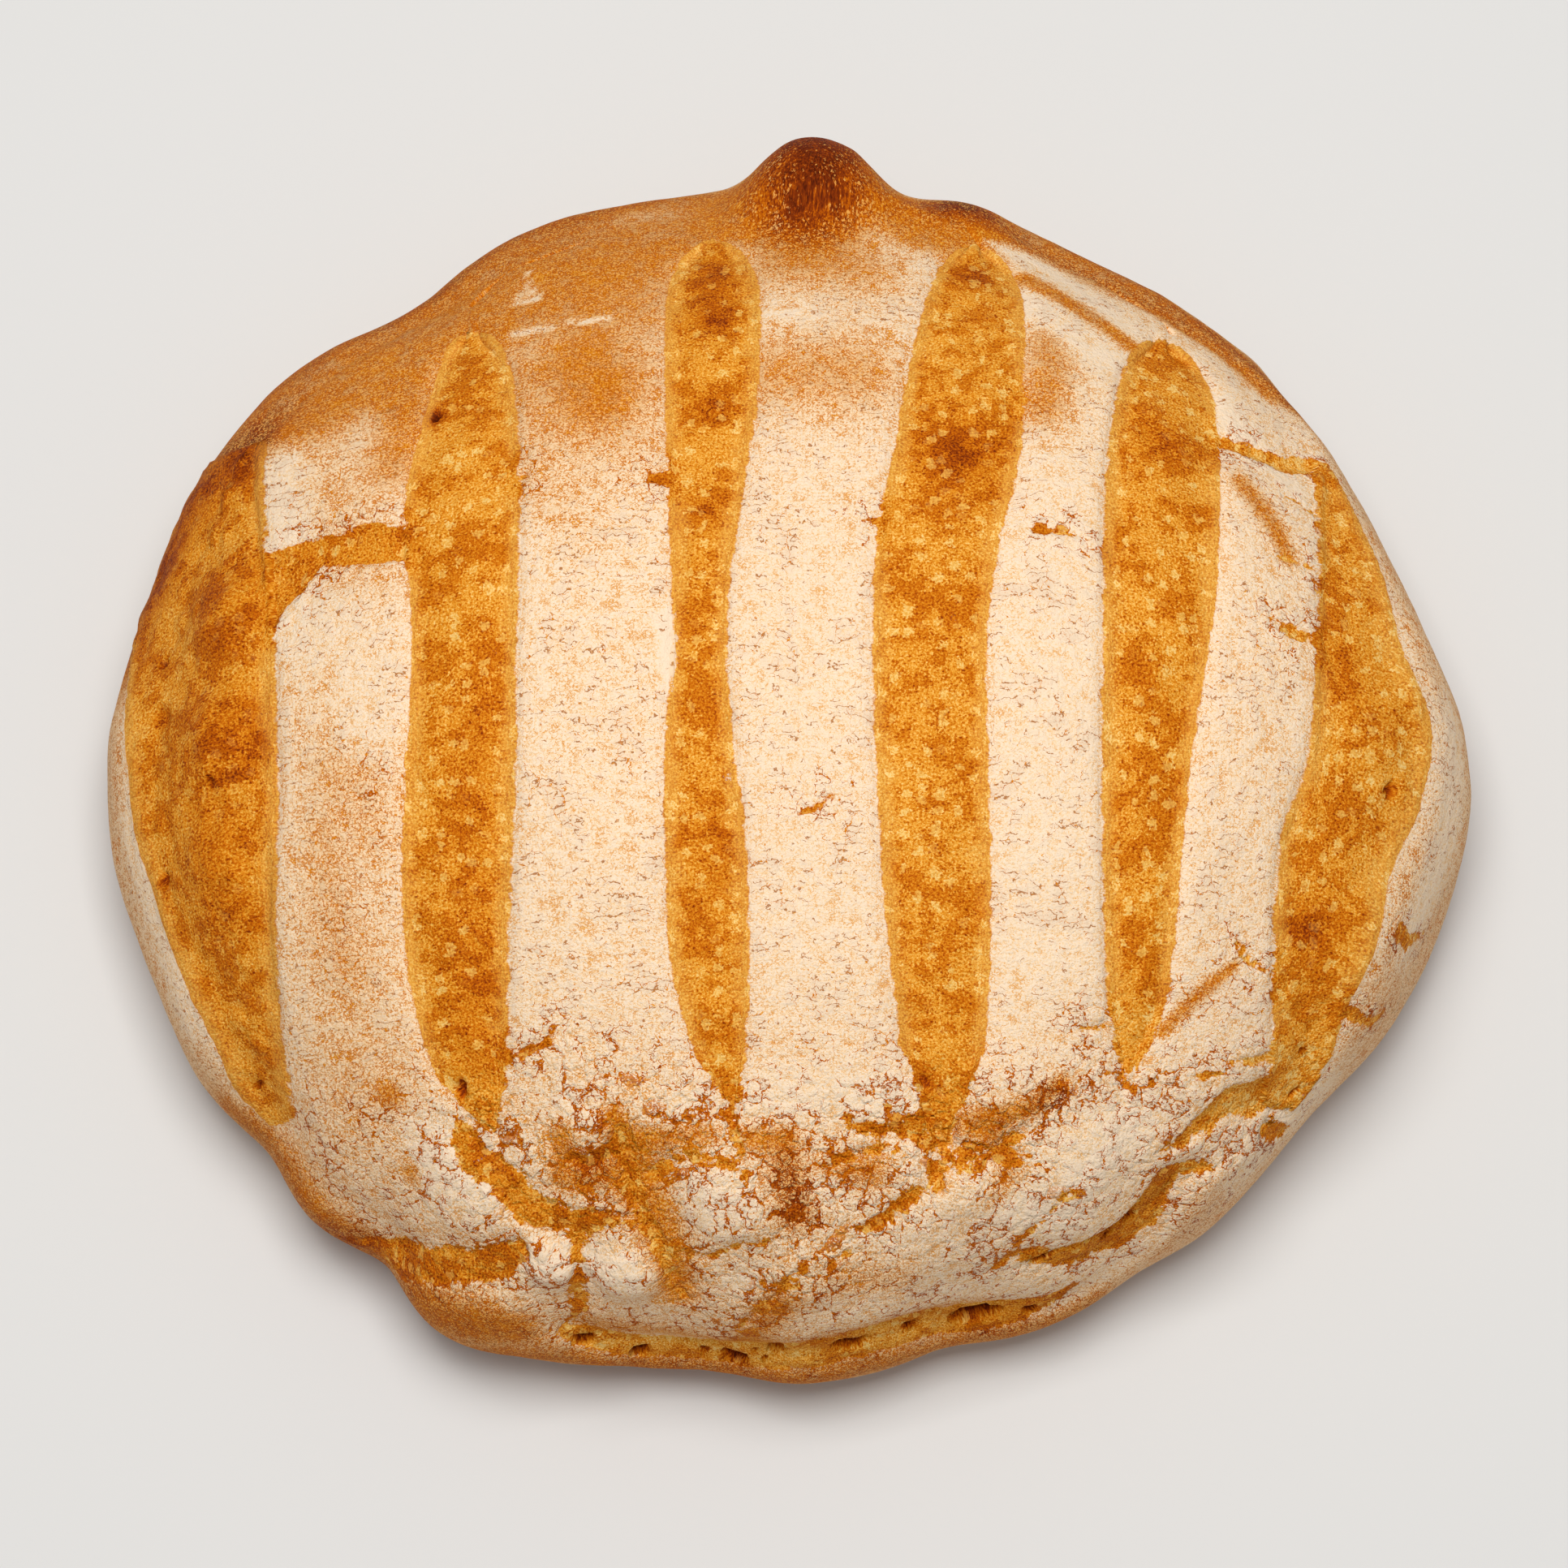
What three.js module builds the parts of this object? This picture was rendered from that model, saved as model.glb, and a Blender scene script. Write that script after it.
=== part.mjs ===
// A free-form spelt loaf: one solid whose floured crust is torn open along six scores and above its foot.
// Millimetres, +Z up, +X along the length, +Y to the back; the origin is under the middle of the base.
import * as THREE from 'three';
import { ImprovedNoise } from 'three/addons/math/ImprovedNoise.js';

const { clamp, degToRad, radToDeg, euclideanModulo, lerp, smoothstep } = THREE.MathUtils;

// Driving sizes
const LENGTH = 248.5;
const DEPTH = 220.5;
const HEIGHT = 87;
const BELLY_HEIGHT = 17;
const BASE_SHARE = 0.84;

// Fullness of the dome: powers of the sine and cosine of an ellipse
const DOME_SPREAD = 0.92;
const DOME_RISE = 0.95;

// How the crust is shared out: a patch over the top, whose columns follow the scores, and rings below it
const PATCH_LENGTH = 232;
const PATCH_DEPTH = 206;
const PATCH_ROWS = 42;
const ROW_CROWDING = degToRad(62);
const COLUMNS = { flank: 9, crease: 1, score: 4, strips: [5, 6, 5, 5, 4] };
const FLANK_CROWDING = 1.5;
const FLANK_LIMIT = 0.96;
const FOLLOW_TO = 0.92;
const FOLLOW_LOSS = 0.2;
const PINCH_HALF = 0.9;
const PINCH_OPENING = 0.2;
const RIM_FROM = 0.9;
const RIM_SHARE = 0.98;
const FLANK_RINGS = 6;
const TUCK_RINGS = 5;

// Swells and dents of the outline: degrees from +X, millimetres outwards, degrees of reach
const OUTLINE_SWELLS = [
  { at: 22, out: -9.3, reach: 13 },
  { at: 58, out: -3, reach: 14 },
  { at: 113, out: 2.2, reach: 10 },
  { at: 129, out: -4, reach: 5 },
  { at: 141, out: 1.5, reach: 6 },
  { at: 150, out: 1, reach: 8 },
  { at: 198, out: -2.5, reach: 8 },
  { at: 215, out: -3.5, reach: 3.5 },
  { at: 230, out: -3, reach: 3.5 },
  { at: 238, out: 3.6, reach: 5 },
  { at: 260, out: -3.8, reach: 7 },
  { at: 285, out: -7.2, reach: 7 },
  { at: 302, out: -4.2, reach: 6 },
  { at: 325, out: -10.5, reach: 13 },
  { at: 350, out: -2.6, reach: 9 },
];
// They die away towards the crown, with this power of the distance from it
const SWELL_FADE = 9;

// The four scores on top, each from front to back as stations of y, middle x and half width
const SCORES = [
  [[-75, -53, -0.6], [-70, -54.8, 3.5], [-63, -57.2, 7], [-43, -59.5, 9.3], [-19, -59.2, 10],
    [9, -58.7, 9.5], [39, -59.7, 10.5], [56, -58.7, 8.5], [69, -58.7, 6], [75, -59.2, -0.6]],
  [[-74, -10.7, -0.6], [-68, -12, 2.5], [-61, -13.7, 5], [-48, -15.2, 7], [-24, -16.2, 7], [-9, -17.2, 6],
    [14, -17.2, 5], [39, -16.2, 7], [55, -15.4, 8.3], [79, -15.2, 8.6], [88, -15.2, 6.5],
    [92.5, -15.2, -0.6]],
  [[-77, 25.8, -0.6], [-71, 25.6, 3.5], [-63, 25.3, 7], [-43, 24.6, 9.2], [-9, 23.3, 10], [11, 23.3, 10.2],
    [28, 24.8, 11], [45, 28.3, 11.5], [59, 29.8, 10.7], [79, 32.3, 9], [88, 32.8, 6.5], [92.5, 33.3, -0.6]],
  [[-66, 57.8, -0.6], [-60, 58.3, 3], [-52, 59.3, 5.3], [-34, 60, 6.8], [-9, 61.3, 8.2], [17, 63.8, 10],
    [41, 65.3, 10.6], [61, 66.8, 9.2], [70, 66.8, 6.5], [74.5, 66.8, -0.6]],
];

// The end scores, which opened over the flanks: which side, stations of y and x of the upper edge
const FLANK_SCORES = [
  { side: -1, edge: [[-67, -90], [-46, -92], [-18, -92], [11, -93], [28, -95], [57, -97]] },
  { side: 1, edge: [[-65, 83], [-53, 84], [-33, 84], [-19, 86], [-9, 90], [20, 93], [53, 94]] },
];

// Height of the foot's upper edge around the loaf: degrees from +X, millimetres
const FOOT_EDGE = [[0, 50], [9, 52], [18, 51], [27, 49], [45, 43], [90, 40], [135, 42], [181, 41], [201, 41],
  [208, 38], [212, 33], [232, 31], [241, 41], [248, 29], [257, 21], [264, 22], [275, 27.5], [287, 24],
  [297, 23.5], [307, 31], [312, 43], [318, 41], [324, 37], [329, 43], [333, 50], [338, 54], [346, 53],
  [353, 50], [360, 50]];

// Tears in the crust, each a run of degrees from +X, height and half width
const TEARS = {
  frontBand: [[247, 32, 1.5], [250, 28.5, 3], [253, 26, 3.3], [256, 23.5, 3.5], [260, 23, 3.4],
    [264, 25, 4.2], [268, 28, 4.6], [272, 30, 5], [276, 30.5, 5], [280, 30, 4.8], [284, 28, 4.6],
    [288, 26, 4.8], [292, 25.5, 4], [296, 26, 2.5], [300, 26, 1]],
  leftBand: [[228, 27, 2], [232, 31, 3], [235.5, 38, 3.5], [239.5, 43.5, 3.2], [242, 49, 2.5]],
  rightBand: [[292, 47, 1], [295, 44, 2.4], [298, 40.5, 3.6], [302, 39, 4], [306, 39.5, 4.2],
    [308.5, 44, 3.8], [310.5, 48, 2.8], [313, 45, 1.5]],
  rightTail: [[309, 56, 0.8], [312, 54.5, 1.6], [314.5, 54, 2.2], [316, 53, 3], [318.5, 49, 2.8],
    [323.5, 43, 2.6]],
  belowSecondScore: [[231, 60, 2], [235, 59, 2.6], [239, 58, 2.4], [241.5, 54.5, 2.8], [245, 53.5, 2.4],
    [249, 55, 2], [253, 57, 1.3]],
  downToFrontBand: [[247.5, 54, 1.8], [249, 49, 1.8], [248.5, 38, 2]],
  belowFlakes: [[246.5, 72, 1], [248.5, 68.5, 2.4], [251.5, 64.5, 3.4], [253.5, 61, 4.2], [255.5, 57.5, 4.4],
    [256.5, 52.5, 3.2], [258.5, 47, 2.4]],
  belowFourthScore: [[298, 64, 1.6], [289, 67, 2.2], [284.8, 63, 1.8], [277.5, 58, 1.5]],
  leftBridge: [[166.1, 65, 3.2], [162, 69.5, 3], [158.5, 77, 2.6]],
  rightBridge: [[34.6, 63, 1.8], [31, 58.5, 2], [29, 50, 2.2]],
};

// Knobs and pillows: degrees from +X, height, how far they rise and reach, and how flat their tops are
const KNOBS = [
  { at: 88.2, height: 44, rise: 13, reach: 10, flat: 3 },
  { at: 73, height: 44, rise: 5.3, reach: 7 },
  { at: 152, height: 50, rise: 2.5, reach: 9 },
  { at: 168, height: 57, rise: 2.2, reach: 7 },
  { at: 181.5, height: 59, rise: 2.6, reach: 7 },
  { at: 194, height: 55, rise: 2.6, reach: 8 },
  { at: 0, height: 58, rise: 2.2, reach: 10 },
  { at: 341, height: 56, rise: 2.2, reach: 9 },
  { at: 245, height: 69, rise: 2, reach: 5 },
  { at: 245, height: 47, rise: 2.2, reach: 5 },
  { at: 253, height: 52, rise: 2.8, reach: 5.5 },
  { at: 263, height: 63, rise: 2, reach: 8 },
  { at: 285, height: 59, rise: 1.6, reach: 7 },
  { at: 300, height: 54, rise: 2, reach: 6 },
  { at: 302, height: 70, rise: 1.6, reach: 8 },
];

// Relief of the crust
const SKIN_RISE = 1.3;
const SKIN_LIP = 0.8;
const LIP_REACH = 6;
const CREASE_DEPTH = 1.4;
const CREASE_REACH = 3.5;
const CREASE_AT = 0.5;
const CRUMB_SWELL = 0.9;
const TEAR_DEPTH = 2;
const TEAR_SLOPE = 2;
const FOOT_SWELL = 2.4;
const FOOT_ROUND = 7;
const FLANK_END = 15;
const LUMP_SIZES = [{ span: 34, rise: 1.4 }, { span: 15, rise: 0.7 }];
const RELIEF_FROM = 2;
const RELIEF_FULL = 12;
const SETTLING_STEPS = 4;

const noise = new ImprovedNoise();

function turn(from, to) {
  return euclideanModulo(to - from + 180, 360) - 180;
}

function bell(distance, reach, flat = 2) {
  return Math.exp(-((Math.abs(distance) / reach) ** flat) / 2);
}

// A smooth line through stations whose first number is the place along it; gives the other numbers there
function follow(stations, at) {
  const last = stations.length - 1;
  const place = clamp(at, stations[0][0], stations[last][0]);
  const next = Math.max(1, stations.findIndex((station) => station[0] >= place));
  const [a, b] = [stations[next - 1], stations[next]];
  const [before, after] = [stations[Math.max(next - 2, 0)], stations[Math.min(next + 1, last)]];
  const span = b[0] - a[0];
  const t = (place - a[0]) / span;
  return a.slice(1).map((value, k) => {
    const slopeA = ((b[k + 1] - before[k + 1]) / (b[0] - before[0])) * span;
    const slopeB = ((after[k + 1] - value) / (after[0] - a[0])) * span;
    const rise = b[k + 1] - value;
    return value + t * (slopeA + t * (3 * rise - 2 * slopeA - slopeB + t * (slopeA + slopeB - 2 * rise)));
  });
}

function outlineRadius(angle, share) {
  const oval = 1 / Math.hypot(Math.cos(angle) / (LENGTH / 2), Math.sin(angle) / (DEPTH / 2));
  const swells = OUTLINE_SWELLS.map(({ at, out, reach }) => out * bell(turn(at, radToDeg(angle)), reach));
  return oval + swells.reduce((sum, swell) => sum + swell) * share ** SWELL_FADE;
}

function domeHeight(share) {
  const spread = Math.min(share, 1) ** (1 / DOME_SPREAD);
  return BELLY_HEIGHT + (HEIGHT - BELLY_HEIGHT) * Math.sqrt(1 - spread * spread) ** DOME_RISE;
}

function domeShare(height) {
  const rise = ((height - BELLY_HEIGHT) / (HEIGHT - BELLY_HEIGHT)) ** (1 / DOME_RISE);
  return Math.sqrt(1 - rise * rise) ** DOME_SPREAD;
}

function ringPoint(angle, share, height) {
  const radius = outlineRadius(angle, share) * share;
  return new THREE.Vector3(radius * Math.cos(angle), radius * Math.sin(angle), height);
}

function domePoint(degrees, height) {
  return ringPoint(degToRad(degrees), domeShare(height), height);
}

function ontoDome(x, y) {
  const angle = Math.atan2(y, x);
  let share = 1;
  for (let k = 0; k < SETTLING_STEPS; k += 1) {
    share = Math.hypot(x, y) / outlineRadius(angle, Math.min(share, 1));
  }
  if (share > RIM_FROM) {
    share = lerp(RIM_SHARE, RIM_FROM, Math.exp((RIM_FROM - share) / (RIM_SHARE - RIM_FROM)));
  }
  return ringPoint(angle, share, domeHeight(share));
}

function footEdge(point) {
  return follow(FOOT_EDGE, euclideanModulo(radToDeg(Math.atan2(point.y, point.x)), 360))[0];
}

function scoreDepth(stations, point) {
  const y = clamp(point.y, stations[0][0], stations[stations.length - 1][0]);
  const [middle, half] = follow(stations, y);
  return half - Math.hypot(point.x - middle, point.y - y);
}

function flankDepth({ side, edge }, point) {
  return side * (point.x - follow(edge, point.y)[0]);
}

// The end scores close at their ends and at the foot
function flankOpening({ edge }, point) {
  const ends = Math.min(point.y - edge[0][0], edge[edge.length - 1][0] - point.y);
  return smoothstep(ends, 0, FLANK_END) * smoothstep(point.z - footEdge(point), 0, FOOT_ROUND);
}

const tearRuns = Object.values(TEARS).map(
  (run) => run.map(([degrees, height, half]) => ({ point: domePoint(degrees, height), half })));

function tearDepth(run, point) {
  let depth = -Infinity;
  for (let k = 1; k < run.length; k += 1) {
    const segment = new THREE.Line3(run[k - 1].point, run[k].point);
    const t = segment.closestPointToPointParameter(point, true);
    const near = segment.at(t, new THREE.Vector3());
    depth = Math.max(depth, lerp(run[k - 1].half, run[k].half, t) - near.distanceTo(point));
  }
  return depth;
}

// What the crust does beside one torn edge, by the distance into the crumb
function edgeRise(depth) {
  const crumb = lerp(CRUMB_SWELL, -CREASE_DEPTH, Math.exp(-Math.max(depth, 0) / CREASE_REACH));
  const skin = lerp(SKIN_RISE, SKIN_LIP, Math.exp(Math.min(depth, 0) / LIP_REACH));
  return lerp(skin, crumb, smoothstep(depth, -CREASE_AT, CREASE_AT));
}

function relief(point) {
  const scored = Math.max(...SCORES.map((stations) => scoreDepth(stations, point)));
  let rise = edgeRise(scored);
  let skin = 1 - smoothstep(scored, -CREASE_AT, CREASE_AT);
  for (const score of FLANK_SCORES) {
    const [depth, open] = [flankDepth(score, point), flankOpening(score, point)];
    rise = Math.min(rise, lerp(SKIN_RISE, edgeRise(depth), open));
    skin *= 1 - open * smoothstep(depth, -CREASE_AT, CREASE_AT);
  }
  const torn = Math.max(...tearRuns.map((run) => tearDepth(run, point)));
  rise -= TEAR_DEPTH * skin * smoothstep(torn, -TEAR_SLOPE, TEAR_SLOPE);
  rise += FOOT_SWELL * smoothstep(footEdge(point) - point.z, -FOOT_ROUND / 2, FOOT_ROUND / 2);
  for (const { span, rise: swell } of LUMP_SIZES) {
    rise += swell * noise.noise(point.x / span, point.y / span, point.z / span);
  }
  for (const { at, height, rise: swell, reach, flat } of KNOBS) {
    rise += swell * bell(domePoint(at, height).distanceTo(point), reach, flat);
  }
  return rise * smoothstep(point.z, RELIEF_FROM, RELIEF_FULL);
}

// Columns of the patch across the loaf at one y: two to each torn edge, its lip and its crease
function columnsAt(y) {
  const reach = (PATCH_LENGTH / 2) * Math.sqrt(Math.max(0, 1 - (2 * y / PATCH_DEPTH) ** 2));
  const [left, right] = FLANK_SCORES.map(
    ({ side, edge }) => side * Math.min(Math.abs(follow(edge, y)[0]), FLANK_LIMIT * reach));
  const knots = [-reach, left - CREASE_AT, left + CREASE_AT];
  const counts = [COLUMNS.flank, COLUMNS.crease, COLUMNS.strips[0]];
  SCORES.forEach((stations, k) => {
    const [middle, half] = follow(stations, y);
    const past = Math.max(stations[0][0] - y, y - stations[stations.length - 1][0], 0);
    const wide = Math.max(half, PINCH_HALF) + PINCH_OPENING * past;
    for (const side of [-1, 1]) {
      knots.push(middle + side * wide - CREASE_AT, middle + side * wide + CREASE_AT);
    }
    counts.push(COLUMNS.crease, COLUMNS.score, COLUMNS.crease, COLUMNS.strips[k + 1]);
  });
  knots.push(right - CREASE_AT, right + CREASE_AT, reach);
  counts.push(COLUMNS.crease, COLUMNS.flank);
  const columns = [knots[0]];
  counts.forEach((count, k) => {
    for (let c = 1; c <= count; c += 1) {
      let share = c / count;
      share = k === 0 ? share ** FLANK_CROWDING : share;
      share = k === counts.length - 1 ? 1 - (1 - share) ** FLANK_CROWDING : share;
      columns.push(lerp(knots[k], knots[k + 1], share));
    }
  });
  return columns;
}

function patchPoint(u, v, column) {
  const y = (PATCH_DEPTH / 2) * v * Math.sqrt(1 - u * u / 2);
  const plain = (PATCH_LENGTH / 2) * u * Math.sqrt(1 - v * v / 2);
  const leaving = smoothstep(Math.abs(v), FOLLOW_TO - FOLLOW_LOSS * u * u, 1);
  return ontoDome(lerp(columnsAt(y)[column], plain, leaving), y);
}

// The crust as points and three-cornered faces, filled from the top of the loaf to its base
const points = [];
const faces = [];

function addCell(a, b, c, d) {
  faces.push(a, b, c, a, c, d);
}

// Lays the patch and gives the points around its rim, anticlockwise
function addPatch() {
  const across = columnsAt(0).map((x) => 2 * x / PATCH_LENGTH);
  const width = across.length;
  for (let row = 0; row <= PATCH_ROWS; row += 1) {
    const v = Math.sin((2 * row / PATCH_ROWS - 1) * ROW_CROWDING) / Math.sin(ROW_CROWDING);
    across.forEach((u, column) => points.push(patchPoint(u, v, column)));
  }
  for (let row = 0; row < PATCH_ROWS; row += 1) {
    for (let column = 0; column < width - 1; column += 1) {
      const corner = row * width + column;
      addCell(corner, corner + 1, corner + width + 1, corner + width);
    }
  }
  const columns = across.map((u, column) => column);
  const rows = Array.from({ length: PATCH_ROWS - 1 }, (_, row) => (row + 1) * width);
  return [
    ...columns,
    ...rows.map((corner) => corner + width - 1),
    ...columns.map((column) => PATCH_ROWS * width + column).reverse(),
    ...rows.reverse(),
  ];
}

// Hangs rings from the rim, over the belly and in under the loaf, and gives the points of the last
function addRings(rim) {
  const tops = rim.map((k) => points[k]);
  let above = rim;
  for (let ring = 1; ring <= FLANK_RINGS + TUCK_RINGS; ring += 1) {
    const down = Math.min(1, ring / FLANK_RINGS);
    const tuck = Math.max(0, (ring - FLANK_RINGS) / TUCK_RINGS) * Math.PI / 2;
    const below = tops.map((top) => {
      const height = lerp(top.z, BELLY_HEIGHT, down) - BELLY_HEIGHT * Math.sin(tuck);
      const share = ring < FLANK_RINGS ? domeShare(height) : lerp(BASE_SHARE, 1, Math.cos(tuck));
      return points.push(ringPoint(Math.atan2(top.y, top.x), share, height)) - 1;
    });
    below.forEach((k, n) => {
      const next = (n + 1) % below.length;
      addCell(k, below[next], above[next], above[n]);
    });
    above = below;
  }
  return above;
}

function addBase(edge) {
  const middle = points.push(new THREE.Vector3()) - 1;
  edge.forEach((k, n) => faces.push(k, middle, edge[(n + 1) % edge.length]));
}

function loafGeometry() {
  addBase(addRings(addPatch()));
  const crust = new THREE.BufferGeometry().setFromPoints(points);
  crust.setIndex(faces);
  crust.computeVertexNormals();
  const normals = crust.getAttribute('normal');
  const raised = points.map((point, k) => {
    const normal = new THREE.Vector3().fromBufferAttribute(normals, k);
    return point.clone().addScaledVector(normal, relief(point));
  });
  crust.setFromPoints(raised);
  crust.computeVertexNormals();
  crust.computeBoundingBox();
  const middle = crust.boundingBox.getCenter(new THREE.Vector3());
  return crust.translate(-middle.x, -middle.y, 0);
}

const crustMaterial = new THREE.MeshStandardMaterial({ color: 0xd9a45c, roughness: 0.9 });
const loaf = new THREE.Mesh(loafGeometry(), crustMaterial);
loaf.name = 'loaf';
const part = new THREE.Group();
part.add(loaf);
export default part;
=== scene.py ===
# %% [markdown]
# # A floured spelt loaf
# The loaf is one piece of dough, shaped by hand, dusted with flour, scored and baked. In the oven it rose and
# tore open along the scores, so floured skin and bare golden crumb lie side by side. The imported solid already
# has the dome, the scores and the big tears at their real size. This lesson makes a finer copy of it, works
# the small relief into its mesh, and paints flour, crumb and browning with nodes.

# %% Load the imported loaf
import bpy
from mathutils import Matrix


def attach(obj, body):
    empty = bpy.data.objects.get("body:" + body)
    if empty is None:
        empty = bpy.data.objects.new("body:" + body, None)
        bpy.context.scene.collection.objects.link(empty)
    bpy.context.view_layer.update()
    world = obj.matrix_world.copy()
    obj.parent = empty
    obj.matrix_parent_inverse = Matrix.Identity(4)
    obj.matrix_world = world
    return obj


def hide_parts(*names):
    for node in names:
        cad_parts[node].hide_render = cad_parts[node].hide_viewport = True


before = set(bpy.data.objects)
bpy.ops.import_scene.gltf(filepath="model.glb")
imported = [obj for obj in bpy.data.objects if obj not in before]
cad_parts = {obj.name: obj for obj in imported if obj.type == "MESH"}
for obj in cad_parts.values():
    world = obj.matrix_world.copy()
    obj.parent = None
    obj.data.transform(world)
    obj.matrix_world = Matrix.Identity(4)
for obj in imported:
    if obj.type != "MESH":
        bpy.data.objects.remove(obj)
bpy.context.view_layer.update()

# %% Libraries and units
import math

import bmesh
import bpy
import numpy as np
from mathutils import Vector, noise
from mathutils.bvhtree import BVHTree

MM = 0.001

# %% [markdown]
# ## A finer crust
# The solid has a few thousand flat faces, which would show on a crust. A copy is merged, its triangles are
# joined into quads, and a Subdivision Surface rounds them. The quads follow the scores, so the torn edges
# stay sharp while the dome between them turns smooth. Sculpting by hand would do as well, but could not be
# repeated by a script.

# %% Merge and refine a copy of the solid
CRUST_LEVELS = 2

bm = bmesh.new()
bm.from_mesh(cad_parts["loaf"].data)
bmesh.ops.remove_doubles(bm, verts=bm.verts, dist=0.01 * MM)
crust_tree = BVHTree.FromBMesh(bm)
bmesh.ops.join_triangles(bm, faces=bm.faces, angle_face_threshold=math.pi, angle_shape_threshold=math.pi)
loaf = bpy.data.objects.new("loaf_crust", bpy.data.meshes.new("loaf_crust"))
bm.to_mesh(loaf.data)
bm.free()
bpy.context.collection.objects.link(loaf)
rounding = loaf.modifiers.new("rounding", "SUBSURF")
rounding.levels = rounding.render_levels = CRUST_LEVELS
rounded = loaf.evaluated_get(bpy.context.evaluated_depsgraph_get())
crust = bpy.data.meshes.new_from_object(rounded)
loaf.modifiers.clear()
loaf.data = crust
print("crust quads", len(crust.polygons))

# %% [markdown]
# ## Where things are on the loaf
# Places are given in millimetres from the loaf's own centre, which lies a little off the frame's origin
# because the origin is the middle of the box. A place on top is an x and a y, dropped onto the crust; a
# place on the flank is a direction in degrees from +X and a height. Empties could mark places too, but
# plain numbers are easier to read and to change.

# %% Read the crust's points
LOAF_CENTRE = np.array([1.81, -3.67, 0.0])


def read_points(mesh):
    flat = np.empty(len(mesh.vertices) * 3)
    mesh.vertices.foreach_get("co", flat)
    return flat.reshape(-1, 3) / MM - LOAF_CENTRE


def read_normals(mesh):
    flat = np.empty(len(mesh.vertices) * 3)
    mesh.vertex_normals.foreach_get("vector", flat)
    return flat.reshape(-1, 3)


place = read_points(crust)
facing = read_normals(crust)
x, y, z = place.T
around = np.degrees(np.arctan2(y, x)) % 360
print("points", len(place), "highest", z.max().round(1))

# %% Drop places onto the crust
SKY = 200.0


def hit(start, direction):
    spot = crust_tree.ray_cast(Vector((start + LOAF_CENTRE) * MM), Vector(direction))[0]
    return np.array(spot) / MM - LOAF_CENTRE


def on_top(across, along):
    return hit(np.array([across, along, SKY]), (0, 0, -1))


def on_flank(degrees, height):
    way = np.array([math.cos(math.radians(degrees)), math.sin(math.radians(degrees)), 0.0])
    return hit(SKY * way + np.array([0, 0, height]), -way)


# %% Soft steps and smooth lines
def step(value, low, high):
    share = np.clip((value - low) / (high - low), 0, 1)
    return share * share * (3 - 2 * share)


def follow(stations, at):
    line = np.array(stations, float)
    at = np.clip(at, line[0, 0], line[-1, 0])
    k = np.clip(np.searchsorted(line[:, 0], at), 1, len(line) - 1)
    a, b = line[k - 1], line[k]
    before, after = line[np.maximum(k - 2, 0)], line[np.minimum(k + 1, len(line) - 1)]
    span = (b - a)[:, :1]
    t = (at[:, None] - a[:, :1]) / span
    rise = (b - a)[:, 1:]
    slope_a = (b - before)[:, 1:] / (b - before)[:, :1] * span
    slope_b = (after - a)[:, 1:] / (after - a)[:, :1] * span
    bend = t * (3 * rise - 2 * slope_a - slope_b + t * (slope_a + slope_b - 2 * rise))
    return (a[:, 1:] + t * (slope_a + bend)).T


# %% [markdown]
# ## Where the crust tore
# The four scores are runs of stations from front to back: y, the middle's x, and half the width. The two end
# scores opened over the flanks down to the foot. Every point of the crust gets one number: how many
# millimetres it lies inside the torn crumb, below zero on the skin. That number drives relief and colour
# alike, so they can never part. A mask painted by hand would do, but not give the same loaf every time.

# %% The scores
SCORES = [
    [(-75, -53, -0.6), (-70, -54.8, 3.5), (-63, -57.2, 7), (-43, -59.5, 9.3), (-19, -59.2, 10),
     (9, -58.7, 9.5), (39, -59.7, 10.5), (56, -58.7, 8.5), (69, -58.7, 6), (72.5, -59, 4.4),
     (74.6, -59.2, 2.4), (75.5, -59.2, -0.6)],
    [(-74, -10.7, -0.6), (-68, -12, 2.5), (-61, -13.7, 5), (-48, -15.2, 7), (-24, -16.2, 7),
     (-9, -17.2, 6), (14, -17.2, 5), (39, -16.2, 7), (55, -15.4, 8.3), (79, -15.2, 8.6),
     (88, -15.2, 6.5), (91, -15.2, 4.4), (92.8, -15.2, 2.4), (93.5, -15.2, -0.6)],
    [(-77, 25.8, -0.6), (-71, 25.6, 3.5), (-63, 25.3, 7), (-43, 24.6, 9.2), (-9, 23.3, 10),
     (11, 23.3, 10.2), (28, 24.8, 11), (45, 28.3, 11.5), (59, 29.8, 10.7), (79, 32.3, 9),
     (88, 32.8, 6.5), (91, 33, 4.4), (92.8, 33.2, 2.4), (93.5, 33.3, -0.6)],
    [(-66, 57.8, -0.6), (-60, 58.3, 3), (-52, 59.3, 5.3), (-34, 60, 6.8), (-9, 61.3, 8.2),
     (17, 63.8, 10), (41, 65.3, 10.6), (61, 66.8, 9.2), (70, 66.8, 6.5), (73, 66.8, 4.4),
     (74.7, 66.8, 2.4), (75.4, 66.8, -0.6)],
]


def into_score(stations):
    along = np.clip(y, stations[0][0], stations[-1][0])
    middle, half = follow(stations, along)
    return half - np.hypot(x - middle, y - along)


FLANK_TOP, TOP_RIM = 20, 30
FAR_OUTSIDE = -20
upper_side = step(z, FLANK_TOP, TOP_RIM)
scored = np.max([into_score(stations) for stations in SCORES], axis=0)
scored = np.where(upper_side > 0, scored, FAR_OUTSIDE)
print("scores", len(SCORES), "widest half", scored.max().round(1), "mm")

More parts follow.
